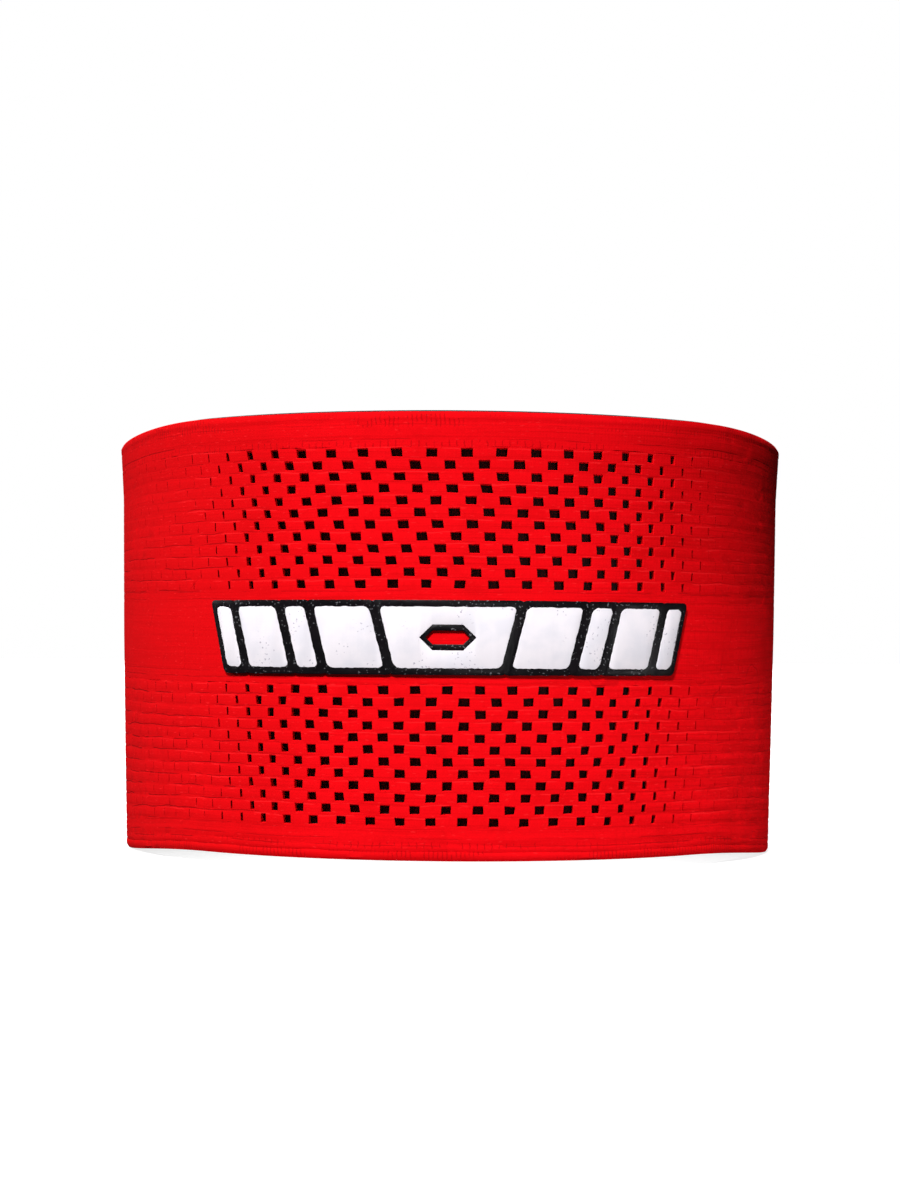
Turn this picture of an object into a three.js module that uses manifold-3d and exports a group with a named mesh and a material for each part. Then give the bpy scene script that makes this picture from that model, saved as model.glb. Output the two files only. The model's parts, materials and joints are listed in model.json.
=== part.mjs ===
// A captain armband: a perforated elastic band sewn into a loop, its dark lining and a raised emblem.
// Millimetres, +Z up. It stands on its lower rim with its front towards -Y.
// The origin is on the floor under the middle of the band.

import * as THREE from "three";
import { TessellateModifier } from "three/addons/modifiers/TessellateModifier.js";
import { mergeGeometries, mergeVertices } from "three/addons/utils/BufferGeometryUtils.js";
import Module from "manifold-3d";

const wasm = await Module();
wasm.setup();

// Band
const bandHeight = 60;
const bandWidth = 97.2; // side to side at the lower rim
const bandDepth = 104; // front to back at the lower rim
const bandTurn = 5.5; // degrees that the oval is turned about Z
const topFlare = 1.4; // how far the upper rim stands out past the lower one
const webThickness = 1.4;
const wallSegments = 96;

// Both rims run level across the front and hang lower at the sides and the back, which touch the floor
const rimDrop = 1.6;
const dropStart = 42; // degrees from the front
const dropEnd = 84;

// Lap seam at the middle of the back
const lapWidth = 12;
const lapRise = 1.1;
const lapEdge = 0.4; // width of the step at each edge of the lap

// Bands of the web, from the rims inwards
const topBorder = 4.9;
const bottomBorder = 4.6;
const stripHeight = 13;

// Perforations
const holeWidth = 1.4;
const holeHeight = 1.1;
const rowPitch = 1.6;
const holesAround = 88;
const upperFrontPitch = 4.65;
const lowerFrontPitch = 4.15;
const upperSkew = 0.15; // sideways run of the upper block from each row to the row below it
const cutStep = 2; // of the rows, and of the holes in a row, one in this many is cut
const cutColumns = 10; // holes cut in each of these rows, across the front

// Lining
const liningThickness = 1;
const liningGap = 0.3;
const liningRise = 0.3; // above the upper rim
const liningLift = 0.4; // above the lower rim

// Emblem on the plain strip
const emblemWidth = 70;
const emblemMargin = 1.5; // plain strip above and below the emblem
const emblemThickness = 0.5;
const emblemGap = 0.3; // to the band
const outlineWidth = 1; // dark edge round each light shape
const fillClearance = 0.3; // between a light shape and the outline
const blockSpacing = 1.6;
const blockLean = 2; // sideways run of a slanted side over the height of a light shape
const cornerCut = 0.7;
const slotWidth = 7.4;
const slotHeight = 3.4;
const slotRing = 0.8;

const longestEdge = 4; // of the wrapped emblem's triangles

// Outline of the wall from the lower rim up: height as a share of bandHeight, flare of topFlare
const profile = [
  { height: 0, flare: 0 },
  { height: 0.25, flare: 0.26 },
  { height: 0.55, flare: 0.53 },
  { height: 0.87, flare: 0.68 },
  { height: 1, flare: 1 },
];

// Slanted blocks on each side of the emblem's middle plate, outwards: width as a share of emblemWidth
const blocks = [
  { name: "first", width: 0.107 },
  { name: "second", width: 0.04 },
  { name: "third", width: 0.086 },
  { name: "fourth", width: 0.034 },
];

const colours = {
  band: new THREE.MeshStandardMaterial({ color: 0xe3101b, roughness: 0.85, metalness: 0 }),
  lining: new THREE.MeshStandardMaterial({ color: 0x161214, roughness: 0.9, metalness: 0 }),
  outline: new THREE.MeshStandardMaterial({ color: 0x0d0b0d, roughness: 0.45, metalness: 0 }),
  fill: new THREE.MeshStandardMaterial({ color: 0xefecf2, roughness: 0.4, metalness: 0 }),
};

const blockHeight = (bandHeight - topBorder - bottomBorder - stripHeight) / 2;
const holeRows = Math.floor((blockHeight - holeHeight) / rowPitch) + 1;
const stripBottom = bottomBorder + blockHeight;
const emblemHeight = stripHeight - 2 * emblemMargin;
const fillHeight = emblemHeight - 2 * outlineWidth;
const degree = Math.PI / 180;

// The lower rim's outside, run from the middle of the front towards +X and once round
const frontAngle = -Math.PI / 2 - Math.atan((bandDepth / bandWidth) * Math.tan(bandTurn * degree));
const oval = new THREE.EllipseCurve(
  0, 0, bandWidth / 2, bandDepth / 2, frontAngle, frontAngle + 2 * Math.PI, false, bandTurn * degree,
);
oval.arcLengthDivisions = 1440;
const girth = oval.getLength();

function flareAt(height) {
  const share = THREE.MathUtils.clamp(height / bandHeight, 0, 1);
  const above = Math.max(1, profile.findIndex((row) => row.height >= share));
  const low = profile[above - 1];
  const high = profile[above];
  const along = (share - low.height) / (high.height - low.height);
  return topFlare * THREE.MathUtils.lerp(low.flare, high.flare, along);
}

// A point of the wall: arc from the front, height above the lower rim, distance out from its face
function wallPoint(arc, height, out) {
  const share = THREE.MathUtils.euclideanModulo(arc / girth, 1);
  const point = oval.getPointAt(share);
  const along = oval.getTangentAt(share);
  const fromFront = Math.abs(Math.atan2(point.x, -point.y)) / degree;
  const lifted = rimDrop * (1 - THREE.MathUtils.smoothstep(fromFront, dropStart, dropEnd));
  const offset = flareAt(height) + out;
  return new THREE.Vector3(
    point.x + along.y * offset,
    point.y - along.x * offset - lapRise / 2,
    height + lifted,
  );
}

// How far the outside of the band stands out at an arc, for the lap at the back
function lapAt(arc) {
  const fromBack = Math.abs(arc - girth / 2);
  return lapRise * (1 - THREE.MathUtils.smoothstep(fromBack, lapWidth / 2 - lapEdge, lapWidth / 2));
}

function wallArcs() {
  const step = girth / wallSegments;
  const half = lapWidth / 2;
  const edges = [-half, lapEdge - half, half - lapEdge, half].map((x) => girth / 2 + x);
  const even = Array.from({ length: wallSegments }, (_, i) => i * step);
  const clear = even.filter((arc) => edges.every((edge) => Math.abs(arc - edge) > step / 3));
  return [...clear, ...edges].sort((a, b) => a - b);
}

// A closed wall between two distances out, from one height to another
function wallGeometry(outside, inside, bottom, top, rise) {
  const between = profile.map((row) => row.height * bandHeight).filter((h) => h > bottom && h < top);
  const heights = [bottom, ...between, top];
  const arcs = wallArcs();
  const positions = [];
  for (const arc of arcs) {
    for (const height of heights) positions.push(...wallPoint(arc, height, outside + rise(arc)).toArray());
    for (const height of heights.toReversed()) positions.push(...wallPoint(arc, height, inside).toArray());
  }
  const ring = 2 * heights.length;
  const index = [];
  for (let i = 0; i < arcs.length; i += 1) {
    for (let j = 0; j < ring; j += 1) {
      const next = ((i + 1) % arcs.length) * ring;
      const above = (j + 1) % ring;
      index.push(i * ring + j, next + j, next + above);
      index.push(i * ring + j, next + above, i * ring + above);
    }
  }
  const geometry = new THREE.BufferGeometry();
  geometry.setAttribute("position", new THREE.Float32BufferAttribute(positions, 3));
  geometry.setIndex(index);
  return geometry;
}

function toSolid(geometry) {
  const bare = geometry.clone();
  bare.deleteAttribute("normal");
  bare.deleteAttribute("uv");
  const merged = mergeVertices(bare);
  return new wasm.Manifold(new wasm.Mesh({
    numProp: 3,
    vertProperties: merged.attributes.position.array,
    triVerts: new Uint32Array(merged.index.array),
  }));
}

function fromSolid(solid) {
  const mesh = solid.getMesh();
  const geometry = new THREE.BufferGeometry();
  geometry.setAttribute("position", new THREE.BufferAttribute(mesh.vertProperties, 3));
  geometry.setIndex(new THREE.BufferAttribute(mesh.triVerts, 1));
  return geometry;
}

// The arc of a column of holes: the web is stretched most across the front, more so near the upper rim
function columnArc(column, height) {
  const turn = (2 * Math.PI * column) / holesAround;
  const frontPitch = THREE.MathUtils.lerp(lowerFrontPitch, upperFrontPitch, height / bandHeight);
  const stretch = (8 / 5) * ((frontPitch * holesAround) / girth - 1);
  const wave = (3 / 8) * turn + Math.sin(2 * turn) / 4 + Math.sin(4 * turn) / 32;
  return (girth / (2 * Math.PI)) * ((1 - (3 / 8) * stretch) * turn + stretch * wave);
}

function holeCutter(column, height) {
  const half = holeWidth / upperFrontPitch / 2;
  const width = columnArc(column + half, height) - columnArc(column - half, height);
  const arc = columnArc(column, height);
  const middle = wallPoint(arc, height, -webThickness / 2);
  const outer = wallPoint(arc, height, 0);
  const cutter = new THREE.BoxGeometry(width, 2 * webThickness, holeHeight);
  cutter.rotateZ(Math.atan2(outer.y - middle.y, outer.x - middle.x) + Math.PI / 2);
  return cutter.translate(middle.x, middle.y, middle.z);
}

// A coarse brick pattern of the holes in one block of rows, counted from its lowest row
function blockCutters(blockBottom, firstShift, skew) {
  const slack = blockHeight - holeHeight - (holeRows - 1) * rowPitch;
  const cutters = [];
  for (let row = 0; row < holeRows; row += cutStep) {
    const height = blockBottom + slack / 2 + holeHeight / 2 + row * rowPitch;
    const shift = firstShift + ((row / cutStep) % 2) + (skew * (holeRows - 1 - row)) / upperFrontPitch;
    for (let i = 0; i < cutColumns; i += 1) {
      cutters.push(holeCutter(shift + cutStep * (i - (cutColumns - 1) / 2), height));
    }
  }
  return cutters;
}

function bandGeometry() {
  const web = toSolid(wallGeometry(0, -webThickness, 0, bandHeight, lapAt));
  const lowerCutters = blockCutters(bottomBorder, -0.5, 0);
  const upperCutters = blockCutters(stripBottom + stripHeight, 0, upperSkew);
  const cutters = [...lowerCutters, ...upperCutters];
  return fromSolid(web.subtract(toSolid(mergeGeometries(cutters))));
}

function liningGeometry() {
  const outside = -webThickness - liningGap;
  return wallGeometry(outside, outside - liningThickness, liningLift, bandHeight + liningRise, () => 0);
}

// Cuts each corner of a polygon straight across, a given length along its sides
function cutCorners(points, length) {
  return points.flatMap((corner, i) => {
    const before = points[(i + points.length - 1) % points.length];
    const after = points[(i + 1) % points.length];
    return [before, after].map((other) => {
      const reach = other.clone().sub(corner).setLength(length);
      return reach.add(corner);
    });
  });
}

// A four-sided plate of the emblem, between two places at mid height, grown outwards all round
function slantedOutline({ left, right, leftLean, rightLean }, grow) {
  const half = fillHeight / 2 + grow;
  const side = grow * Math.hypot(1, blockLean / fillHeight);
  const reach = half / fillHeight;
  const corners = [
    new THREE.Vector2(left - side - leftLean * reach, -half),
    new THREE.Vector2(right + side - rightLean * reach, -half),
    new THREE.Vector2(right + side + rightLean * reach, half),
    new THREE.Vector2(left - side + leftLean * reach, half),
  ];
  return cutCorners(corners, cornerCut);
}

// A slot with pointed ends in the middle of the emblem
function slotOutline(width, height) {
  return [
    new THREE.Vector2(-width / 2, 0),
    new THREE.Vector2(-width / 2 + height / 2, -height / 2),
    new THREE.Vector2(width / 2 - height / 2, -height / 2),
    new THREE.Vector2(width / 2, 0),
    new THREE.Vector2(width / 2 - height / 2, height / 2),
    new THREE.Vector2(-width / 2 + height / 2, height / 2),
  ];
}

// The emblem's light shapes, each between two arcs from its middle
function emblemPlates() {
  const sideLean = blockLean / 2;
  const blocksWidth = blocks.reduce((sum, block) => sum + block.width * emblemWidth + blockSpacing, 0);
  const half = emblemWidth / 2 - outlineWidth - sideLean - blocksWidth;
  const lean = blockLean;
  const plates = [
    { name: "emblem_middle", left: -half, right: half, leftLean: -lean, rightLean: lean, slotted: true },
  ];
  let from = half;
  for (const { name, width } of blocks) {
    const near = from + blockSpacing;
    const far = near + width * emblemWidth;
    plates.push({ name: `emblem_right_${name}`, left: near, right: far, leftLean: lean, rightLean: lean });
    plates.push({ name: `emblem_left_${name}`, left: -far, right: -near, leftLean: -lean, rightLean: -lean });
    from = far;
  }
  return plates;
}

// A flat plate of the emblem, before it is wrapped
function flatPlate(points, depth, holes = []) {
  const shape = new THREE.Shape(points);
  shape.holes = holes.map((hole) => new THREE.Path(hole));
  return new THREE.ExtrudeGeometry(shape, { depth, bevelEnabled: false });
}

// Bends a flat plate round the front of the band, on the plain strip
function wrapped(flat) {
  const bare = flat.clone();
  bare.deleteAttribute("normal");
  bare.deleteAttribute("uv");
  const fine = mergeVertices(new TessellateModifier(longestEdge, 12).modify(bare));
  const place = fine.attributes.position;
  const middle = stripBottom + stripHeight / 2;
  for (let i = 0; i < place.count; i += 1) {
    const point = wallPoint(place.getX(i), middle + place.getY(i), emblemGap + place.getZ(i));
    place.setXYZ(i, point.x, point.y, point.z);
  }
  return fine;
}

function outlineGeometry(plates) {
  const through = 1; // the windows' cutters reach this far past both faces
  const grown = plates.map((plate) => {
    return toSolid(flatPlate(slantedOutline(plate, outlineWidth), emblemThickness));
  });
  const windows = plates.map((plate) => {
    const cutter = flatPlate(slantedOutline(plate, fillClearance), emblemThickness + 2 * through);
    return toSolid(cutter.translate(0, 0, -through));
  });
  const whole = grown.reduce((sum, solid) => sum.add(solid));
  return wrapped(fromSolid(windows.reduce((rest, window) => rest.subtract(window), whole)));
}

function fillGeometry(plate) {
  const room = slotOutline(slotWidth + 2 * fillClearance, slotHeight + 2 * fillClearance);
  return wrapped(flatPlate(slantedOutline(plate, 0), emblemThickness, plate.slotted ? [room] : []));
}

function ringGeometry() {
  const inner = slotOutline(slotWidth - 2 * slotRing, slotHeight - 2 * slotRing);
  return wrapped(flatPlate(slotOutline(slotWidth, slotHeight), emblemThickness, [inner]));
}

function piece(name, geometry, material) {
  const faceted = geometry.index ? geometry.toNonIndexed() : geometry;
  faceted.computeVertexNormals();
  const mesh = new THREE.Mesh(faceted, material.clone());
  mesh.name = name;
  return mesh;
}

const armband = new THREE.Group();
const emblem = new THREE.Group();
const plates = emblemPlates();
armband.add(piece("band", bandGeometry(), colours.band));
armband.add(piece("lining", liningGeometry(), colours.lining));
emblem.add(piece("emblem_outline", outlineGeometry(plates), colours.outline));
emblem.add(piece("emblem_slot_ring", ringGeometry(), colours.outline));
for (const plate of plates) emblem.add(piece(plate.name, fillGeometry(plate), colours.fill));
armband.add(emblem);

export default armband;
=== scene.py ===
import json
import math

import bpy
import numpy as np
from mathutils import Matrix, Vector

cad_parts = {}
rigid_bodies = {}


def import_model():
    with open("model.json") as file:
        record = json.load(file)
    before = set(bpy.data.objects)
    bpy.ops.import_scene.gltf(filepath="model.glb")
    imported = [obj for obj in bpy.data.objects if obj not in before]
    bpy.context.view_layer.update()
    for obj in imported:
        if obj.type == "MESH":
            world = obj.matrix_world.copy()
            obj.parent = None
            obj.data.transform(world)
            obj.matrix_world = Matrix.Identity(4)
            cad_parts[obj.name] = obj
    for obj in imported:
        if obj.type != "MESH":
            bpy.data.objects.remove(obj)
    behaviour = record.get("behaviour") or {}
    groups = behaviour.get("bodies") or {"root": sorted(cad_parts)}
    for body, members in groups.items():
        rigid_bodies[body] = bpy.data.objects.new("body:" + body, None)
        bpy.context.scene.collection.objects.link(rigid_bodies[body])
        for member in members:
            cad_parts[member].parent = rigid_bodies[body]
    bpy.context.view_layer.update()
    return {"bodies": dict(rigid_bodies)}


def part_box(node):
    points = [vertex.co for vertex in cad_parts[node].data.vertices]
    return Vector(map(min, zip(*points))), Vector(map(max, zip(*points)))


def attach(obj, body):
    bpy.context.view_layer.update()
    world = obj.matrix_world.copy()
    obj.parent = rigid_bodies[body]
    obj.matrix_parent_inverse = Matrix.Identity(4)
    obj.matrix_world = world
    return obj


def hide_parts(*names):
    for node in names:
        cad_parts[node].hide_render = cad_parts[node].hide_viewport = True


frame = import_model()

mm = 0.001
body = next(iter(frame["bodies"]))
bandLow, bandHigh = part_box("band")

# The band's outside, the same walls as the frame's
wallShape = {
    "width": 97.2 * mm,        # lower rim, side to side
    "depth": 104 * mm,         # lower rim, front to back
    "turn": math.radians(5.5),
    "topFlare": 1.4 * mm,
    "flareHeights": (0, 0.25, 0.55, 0.87, 1),
    "flares": (0, 0.26, 0.53, 0.68, 1),
    "rimDrop": 1.6 * mm,       # the front hangs this much higher than the sides and the back
    "dropEnds": (42, 84),      # degrees from the front
    "lapRise": 1.1 * mm,
    "sideRise": 2.1 * mm,      # how far the rows climb at the sides, where the band isn't pulled flat
    "riseEnds": (105, 150),    # degrees from the front, where they come down again
    "risePower": 1.3,
    "steps": 2880,
}

bandHeight = bandHigh.z - bandLow.z - wallShape["rimDrop"]


def ovalTable():
    # walks the lower rim once round from the middle of the front, towards +X
    halfWidth, halfDepth = wallShape["width"] / 2, wallShape["depth"] / 2
    turn = wallShape["turn"]
    start = -math.pi / 2 - math.atan(halfDepth / halfWidth * math.tan(turn))
    angle = start + np.linspace(0, 2 * math.pi, wallShape["steps"] + 1)
    x, y = halfWidth * np.cos(angle), halfDepth * np.sin(angle)
    dx, dy = -halfWidth * np.sin(angle), halfDepth * np.cos(angle)
    cos, sin = math.cos(turn), math.sin(turn)
    x, y = x * cos - y * sin, x * sin + y * cos
    dx, dy = dx * cos - dy * sin, dx * sin + dy * cos
    length = np.hypot(dx, dy)
    arc = np.concatenate([[0], np.cumsum(np.hypot(np.diff(x), np.diff(y)))])
    return {"arc": arc, "x": x, "y": y, "outX": dy / length, "outY": -dx / length}


oval = ovalTable()
girth = oval["arc"][-1]


def smoothStep(value, low, high):
    share = np.clip((value - low) / (high - low), 0, 1)
    return share * share * (3 - 2 * share)


def alongOval(arc, *names):
    return [np.interp(np.mod(arc, girth), oval["arc"], oval[name]) for name in names]


def degreesAside(x, y):
    return np.degrees(np.abs(np.arctan2(x, -y)))


def wallPoints(arc, height, out):
    # arc from the middle of the front, height above the lower rim, distance out from the wall
    x, y, outX, outY = alongOval(arc, "x", "y", "outX", "outY")
    flare = np.interp(height / bandHeight, wallShape["flareHeights"], wallShape["flares"])
    offset = wallShape["topFlare"] * flare + out
    lifted = wallShape["rimDrop"] * (1 - smoothStep(degreesAside(x, y), *wallShape["dropEnds"]))
    y = y + outY * offset - wallShape["lapRise"] / 2
    return np.stack([x + outX * offset, y, height + lifted], axis=1)


# Small helpers for working by hand

def selectOnly(*pieces):
    if bpy.context.object and bpy.context.object.mode != "OBJECT":
        bpy.ops.object.mode_set(mode="OBJECT")
    bpy.ops.object.select_all(action="DESELECT")
    for piece in pieces:
        piece.select_set(True)
    bpy.context.view_layer.objects.active = pieces[0] if pieces else None


def editMode(piece, kind, action="DESELECT"):
    selectOnly(piece)
    bpy.ops.object.mode_set(mode="EDIT")
    bpy.ops.mesh.select_mode(type=kind)
    bpy.ops.mesh.select_all(action=action)


def objectMode():
    bpy.ops.object.mode_set(mode="OBJECT")


def newPiece(name):
    # the primitive just added, with its turn taken into its mesh
    bpy.ops.object.transform_apply(location=True, rotation=True, scale=True)
    piece = bpy.context.object
    piece.name = piece.data.name = name
    return piece


def deleteFaces(piece, test, kind):
    # deletes the faces whose middle and corners pass a test
    editMode(piece, "FACE")
    objectMode()
    places = [vertex.co for vertex in piece.data.vertices]
    for face in piece.data.polygons:
        face.select = test(face.center, [places[index] for index in face.vertices])
    bpy.ops.object.mode_set(mode="EDIT")
    bpy.ops.mesh.delete(type=kind)
    objectMode()


def pickEdges(piece, test):
    # selects the edges whose two corners pass a test, and says how many there are
    editMode(piece, "EDGE")
    objectMode()
    for edge in piece.data.edges:
        edge.select = bool(test(*edge.vertices))
    count = sum(edge.select for edge in piece.data.edges)
    bpy.ops.object.mode_set(mode="EDIT")
    return count


def allAt(corners, axis, place):
    return all(abs(corner[axis] - place) < 1e-6 for corner in corners)


def addModifier(piece, kind, **settings):
    modifier = piece.modifiers.new(kind.title(), kind)
    for name, value in settings.items():
        setattr(modifier, name, value)
    selectOnly(piece)
    bpy.ops.object.modifier_apply(modifier=modifier.name)


def thicken(piece, thickness, offset=-1):
    addModifier(piece, "SOLIDIFY", thickness=thickness, offset=offset)


def roundEdges(piece, width, segments):
    addModifier(piece, "BEVEL", width=width, segments=segments, limit_method="ANGLE",
                angle_limit=math.radians(50))


def repeated(piece, count, step, **settings):
    addModifier(piece, "ARRAY", count=count, use_relative_offset=False, use_constant_offset=True,
                constant_offset_displace=step, **settings)


def copyOf(piece, name):
    twin = piece.copy()
    twin.data = piece.data.copy()
    twin.name = twin.data.name = name
    bpy.context.collection.objects.link(twin)
    return twin


def joined(name, pieces):
    selectOnly(*pieces)
    bpy.ops.object.join()
    whole = bpy.context.object
    whole.name = whole.data.name = name
    return whole


def mergeDoubles(piece, distance=2e-6):
    editMode(piece, "VERT", "SELECT")
    bpy.ops.mesh.remove_doubles(threshold=distance)
    objectMode()


def faceOutwards(piece):
    editMode(piece, "FACE", "SELECT")
    bpy.ops.mesh.normals_make_consistent(inside=False)
    objectMode()


def vertexArray(piece):
    places = np.empty(len(piece.data.vertices) * 3)
    piece.data.vertices.foreach_get("co", places)
    return places.reshape(-1, 3)


def setVertices(piece, places):
    piece.data.vertices.foreach_set("co", places.astype(np.float32).ravel())
    piece.data.update()


def uprightGrid(name, xLines, zLines):
    # a grid in the X-Z plane facing -Y, with its lines moved to the given places
    selectOnly()
    lastX, lastZ = len(xLines) - 1, len(zLines) - 1
    bpy.ops.mesh.primitive_grid_add(x_subdivisions=lastX, y_subdivisions=lastZ, size=1,
                                    rotation=(math.pi / 2, 0, 0))
    piece = newPiece(name)
    places = vertexArray(piece)
    column = np.rint((places[:, 0] + 0.5) * lastX).astype(int)
    row = np.rint((places[:, 2] + 0.5) * lastZ).astype(int)
    setVertices(piece, np.stack([np.array(xLines)[column], 0 * places[:, 1], np.array(zLines)[row]], axis=1))
    return piece


def mapCloth(piece, arcs, heights):
    # the cloth's own map: how far round and how far up each corner is, in centimetres
    layer = piece.data.uv_layers.active or piece.data.uv_layers.new()
    layer.name = "clothMap"
    corners = np.empty(len(piece.data.loops), dtype=int)
    piece.data.loops.foreach_get("vertex_index", corners)
    flatMap = np.stack([arcs[corners], heights[corners]], axis=1) * 100
    layer.data.foreach_set("uv", flatMap.astype(np.float32).ravel())


# Band: the perforated web, woven flat as tiles of two rows, then wrapped round the oval

webSizes = {
    "thickness": 1.4 * mm,
    "topBorder": 4.9 * mm,
    "bottomBorder": 4.6 * mm,
    "stripHeight": 13 * mm,
    "holeWidth": 1.4 * mm,
    "holeHeight": 1.1 * mm,
    "rowPitch": 1.6 * mm,
    "holesAround": 88,
    "upperFrontPitch": 4.65 * mm,
    "lowerFrontPitch": 4.15 * mm,
    "upperSkew": 0.15 * mm,
    "flatPitch": 4 * mm,       # width of one column while the web is still flat
    "openColumns": (4.3, 3.6),  # to the left and right of the front and the back the holes are fully open
    "closedColumns": (9.6, 10.8),  # and from here on they are slits
    "slits": (0.06, 0.05),     # share of the full width that stays open on the left and right
    "grooveDepth": 0.17 * mm,  # between the rows
    "grooveFront": 0.15,       # share of that depth where the web is stretched
    "grooveLeft": (0.36, 0.06),   # on the left side, at the lower and the upper rim
    "grooveRight": (0.36, 0.06),  # and on the right side
    "rightFrom": (0, 8),       # half columns from the front, where the right side's grooves begin
    "rightTo": (50, 70),       # and where they end
    "widerInside": 0.13,       # of a column, how much each side of a hole draws back at the inner face
    "linesInside": 0.05,       # and the lines that only pass the hole's row
    "holeBevel": 0.1 * mm,
    "bevelTo": 0.6,            # how relaxed the web may be where its holes are bevelled
    "rimOuter": 0.25 * mm,     # how far the outer and inner edges of the rims are drawn in
    "rimInner": 0.2 * mm,
    "wander": 0.1 * mm,        # how far the yarns stray from their lines
}

# Waves of the straying yarns: turns round the band, growth for each row, start
yarnWaves = {
    "sideways": ((7, 1.1, 0), (19, -0.7, 1.7)),
    "upwards": ((9, 0.9, 0.6), (23, -0.5, 2.9)),
}

# Ribs of the borders and the strip: share of the way up, and distance out
borderRibs = {
    "bottom": [(0, 0.02), (0.1, 0.02), (0.22, 0.02), (0.27, -0.08), (0.32, 0), (0.44, 0.02),
               (0.5, -0.05), (0.56, 0.02), (0.78, 0), (0.86, -0.04), (0.92, 0), (1, -0.17)],
    "strip": [(0, -0.17), (0.05, 0), (0.1, -0.03), (0.14, 0), (0.5, 0), (0.86, 0), (0.9, -0.03),
              (0.95, 0), (1, -0.17)],
    "top": [(0, -0.17), (0.08, 0), (0.16, -0.04), (0.24, 0), (0.66, 0), (0.72, -0.04), (0.78, 0.02),
            (0.9, 0.02), (1, 0.02)],
}

rowPitch, flatPitch = webSizes["rowPitch"], webSizes["flatPitch"]
blockHeight = (bandHeight - webSizes["topBorder"] - webSizes["bottomBorder"] - webSizes["stripHeight"]) / 2
holeRows = int((blockHeight - webSizes["holeHeight"]) / rowPitch) + 1
blockSlack = blockHeight - webSizes["holeHeight"] - (holeRows - 1) * rowPitch
rowEdge = (rowPitch - webSizes["holeHeight"]) / 2
lowerStart = webSizes["bottomBorder"] + blockSlack / 2 - rowEdge
lowerEnd = lowerStart + holeRows * rowPitch
upperStart = lowerStart + blockHeight + webSizes["stripHeight"]
upperEnd = upperStart + holeRows * rowPitch
holeShare = webSizes["holeWidth"] / webSizes["upperFrontPitch"] / 2


def columnArcs(column, height):
    # the web is stretched most across the front, more so near the upper rim
    turn = 2 * math.pi * column / webSizes["holesAround"]
    upper = height / bandHeight
    frontPitch = webSizes["lowerFrontPitch"] * (1 - upper) + webSizes["upperFrontPitch"] * upper
    stretch = 8 / 5 * (frontPitch * webSizes["holesAround"] / girth - 1)
    wave = 3 / 8 * turn + np.sin(2 * turn) / 4 + np.sin(4 * turn) / 32
    return girth / (2 * math.pi) * ((1 - 3 / 8 * stretch) * turn + stretch * wave)


def webTile():
    # one column of two rows: the lower row's hole in the middle, the upper row's at the right edge
    half = holeShare
    xLines = [flatPitch * share for share in (half, 0.5 - half, 0.5 + half, 1 - half, 1 + half)]
    zLines = [0, rowEdge, rowPitch - rowEdge, rowPitch, rowPitch + rowEdge, 2 * rowPitch - rowEdge,
              2 * rowPitch]
    tile = uprightGrid("webTile", xLines, zLines)

    def isHole(middle, corners):
        lower = xLines[1] < middle.x < xLines[2] and zLines[1] < middle.z < zLines[2]
        upper = xLines[3] < middle.x < xLines[4] and zLines[4] < middle.z < zLines[5]
        return lower or upper

    def isCutEdge(middle, corners):
        holeWall = allAt(corners, 0, xLines[0]) and zLines[4] < middle.z < zLines[5]
        sides = allAt(corners, 0, xLines[0]) or allAt(corners, 0, xLines[4])
        return (sides or allAt(corners, 2, zLines[0]) or allAt(corners, 2, zLines[6])) and not holeWall

    deleteFaces(tile, isHole, "FACE")
    thicken(tile, webSizes["thickness"])
    deleteFaces(tile, isCutEdge, "ONLY_FACE")
    places = vertexArray(tile)
    inside = places[:, 1] > webSizes["thickness"] / 2
    for rows, hole in (((1, 2), 0.5), ((4, 5), 1.0)):
        inRow = inside & (np.min([np.abs(places[:, 2] - zLines[row]) for row in rows], axis=0) < 1e-6)
        fromHole = places[:, 0] / flatPitch - hole
        fromHole -= np.rint(fromHole)
        atHole = np.abs(np.abs(fromHole) - half) < 1e-4
        back = np.where(atHole, webSizes["widerInside"], webSizes["linesInside"])
        places[inRow, 0] += (back * np.where(fromHole > 0, 1, -1) * flatPitch)[inRow]
    atGroove = np.min([np.abs(places[:, 2] - zLines[row]) for row in (0, 3, 6)], axis=0) < 1e-6
    places[atGroove & (places[:, 1] < 1e-6), 1] = webSizes["grooveDepth"]
    setVertices(tile, places)
    return tile


def webBlock(name, columns, start, shift):
    # a block of rows: the tile copied along and up
    block = copyOf(tile, name)
    for count, step in ((columns, (flatPitch, 0, 0)), (holeRows // 2, (0, 0, 2 * rowPitch))):
        repeated(block, count, step, use_merge_vertices=True, merge_threshold=1e-6)
    setVertices(block, vertexArray(block) + (flatPitch * (shift - columns / 2), 0, start))
    thinInside(block)
    return block


def thinInside(block):
    # the inside needs no lines between the rows
    places = vertexArray(block)
    inside = places[:, 1] > webSizes["thickness"] - 1e-6
    steps = (places[:, 2] - places[:, 2].min()) / rowPitch
    between = (np.abs(steps - np.rint(steps)) < 1e-3) & (steps > 0.5) & (steps < holeRows - 0.5)
    flagged = inside & between
    pickEdges(block, lambda first, second: flagged[first] and flagged[second])
    bpy.ops.mesh.dissolve_edges(use_verts=True)
    objectMode()


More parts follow.
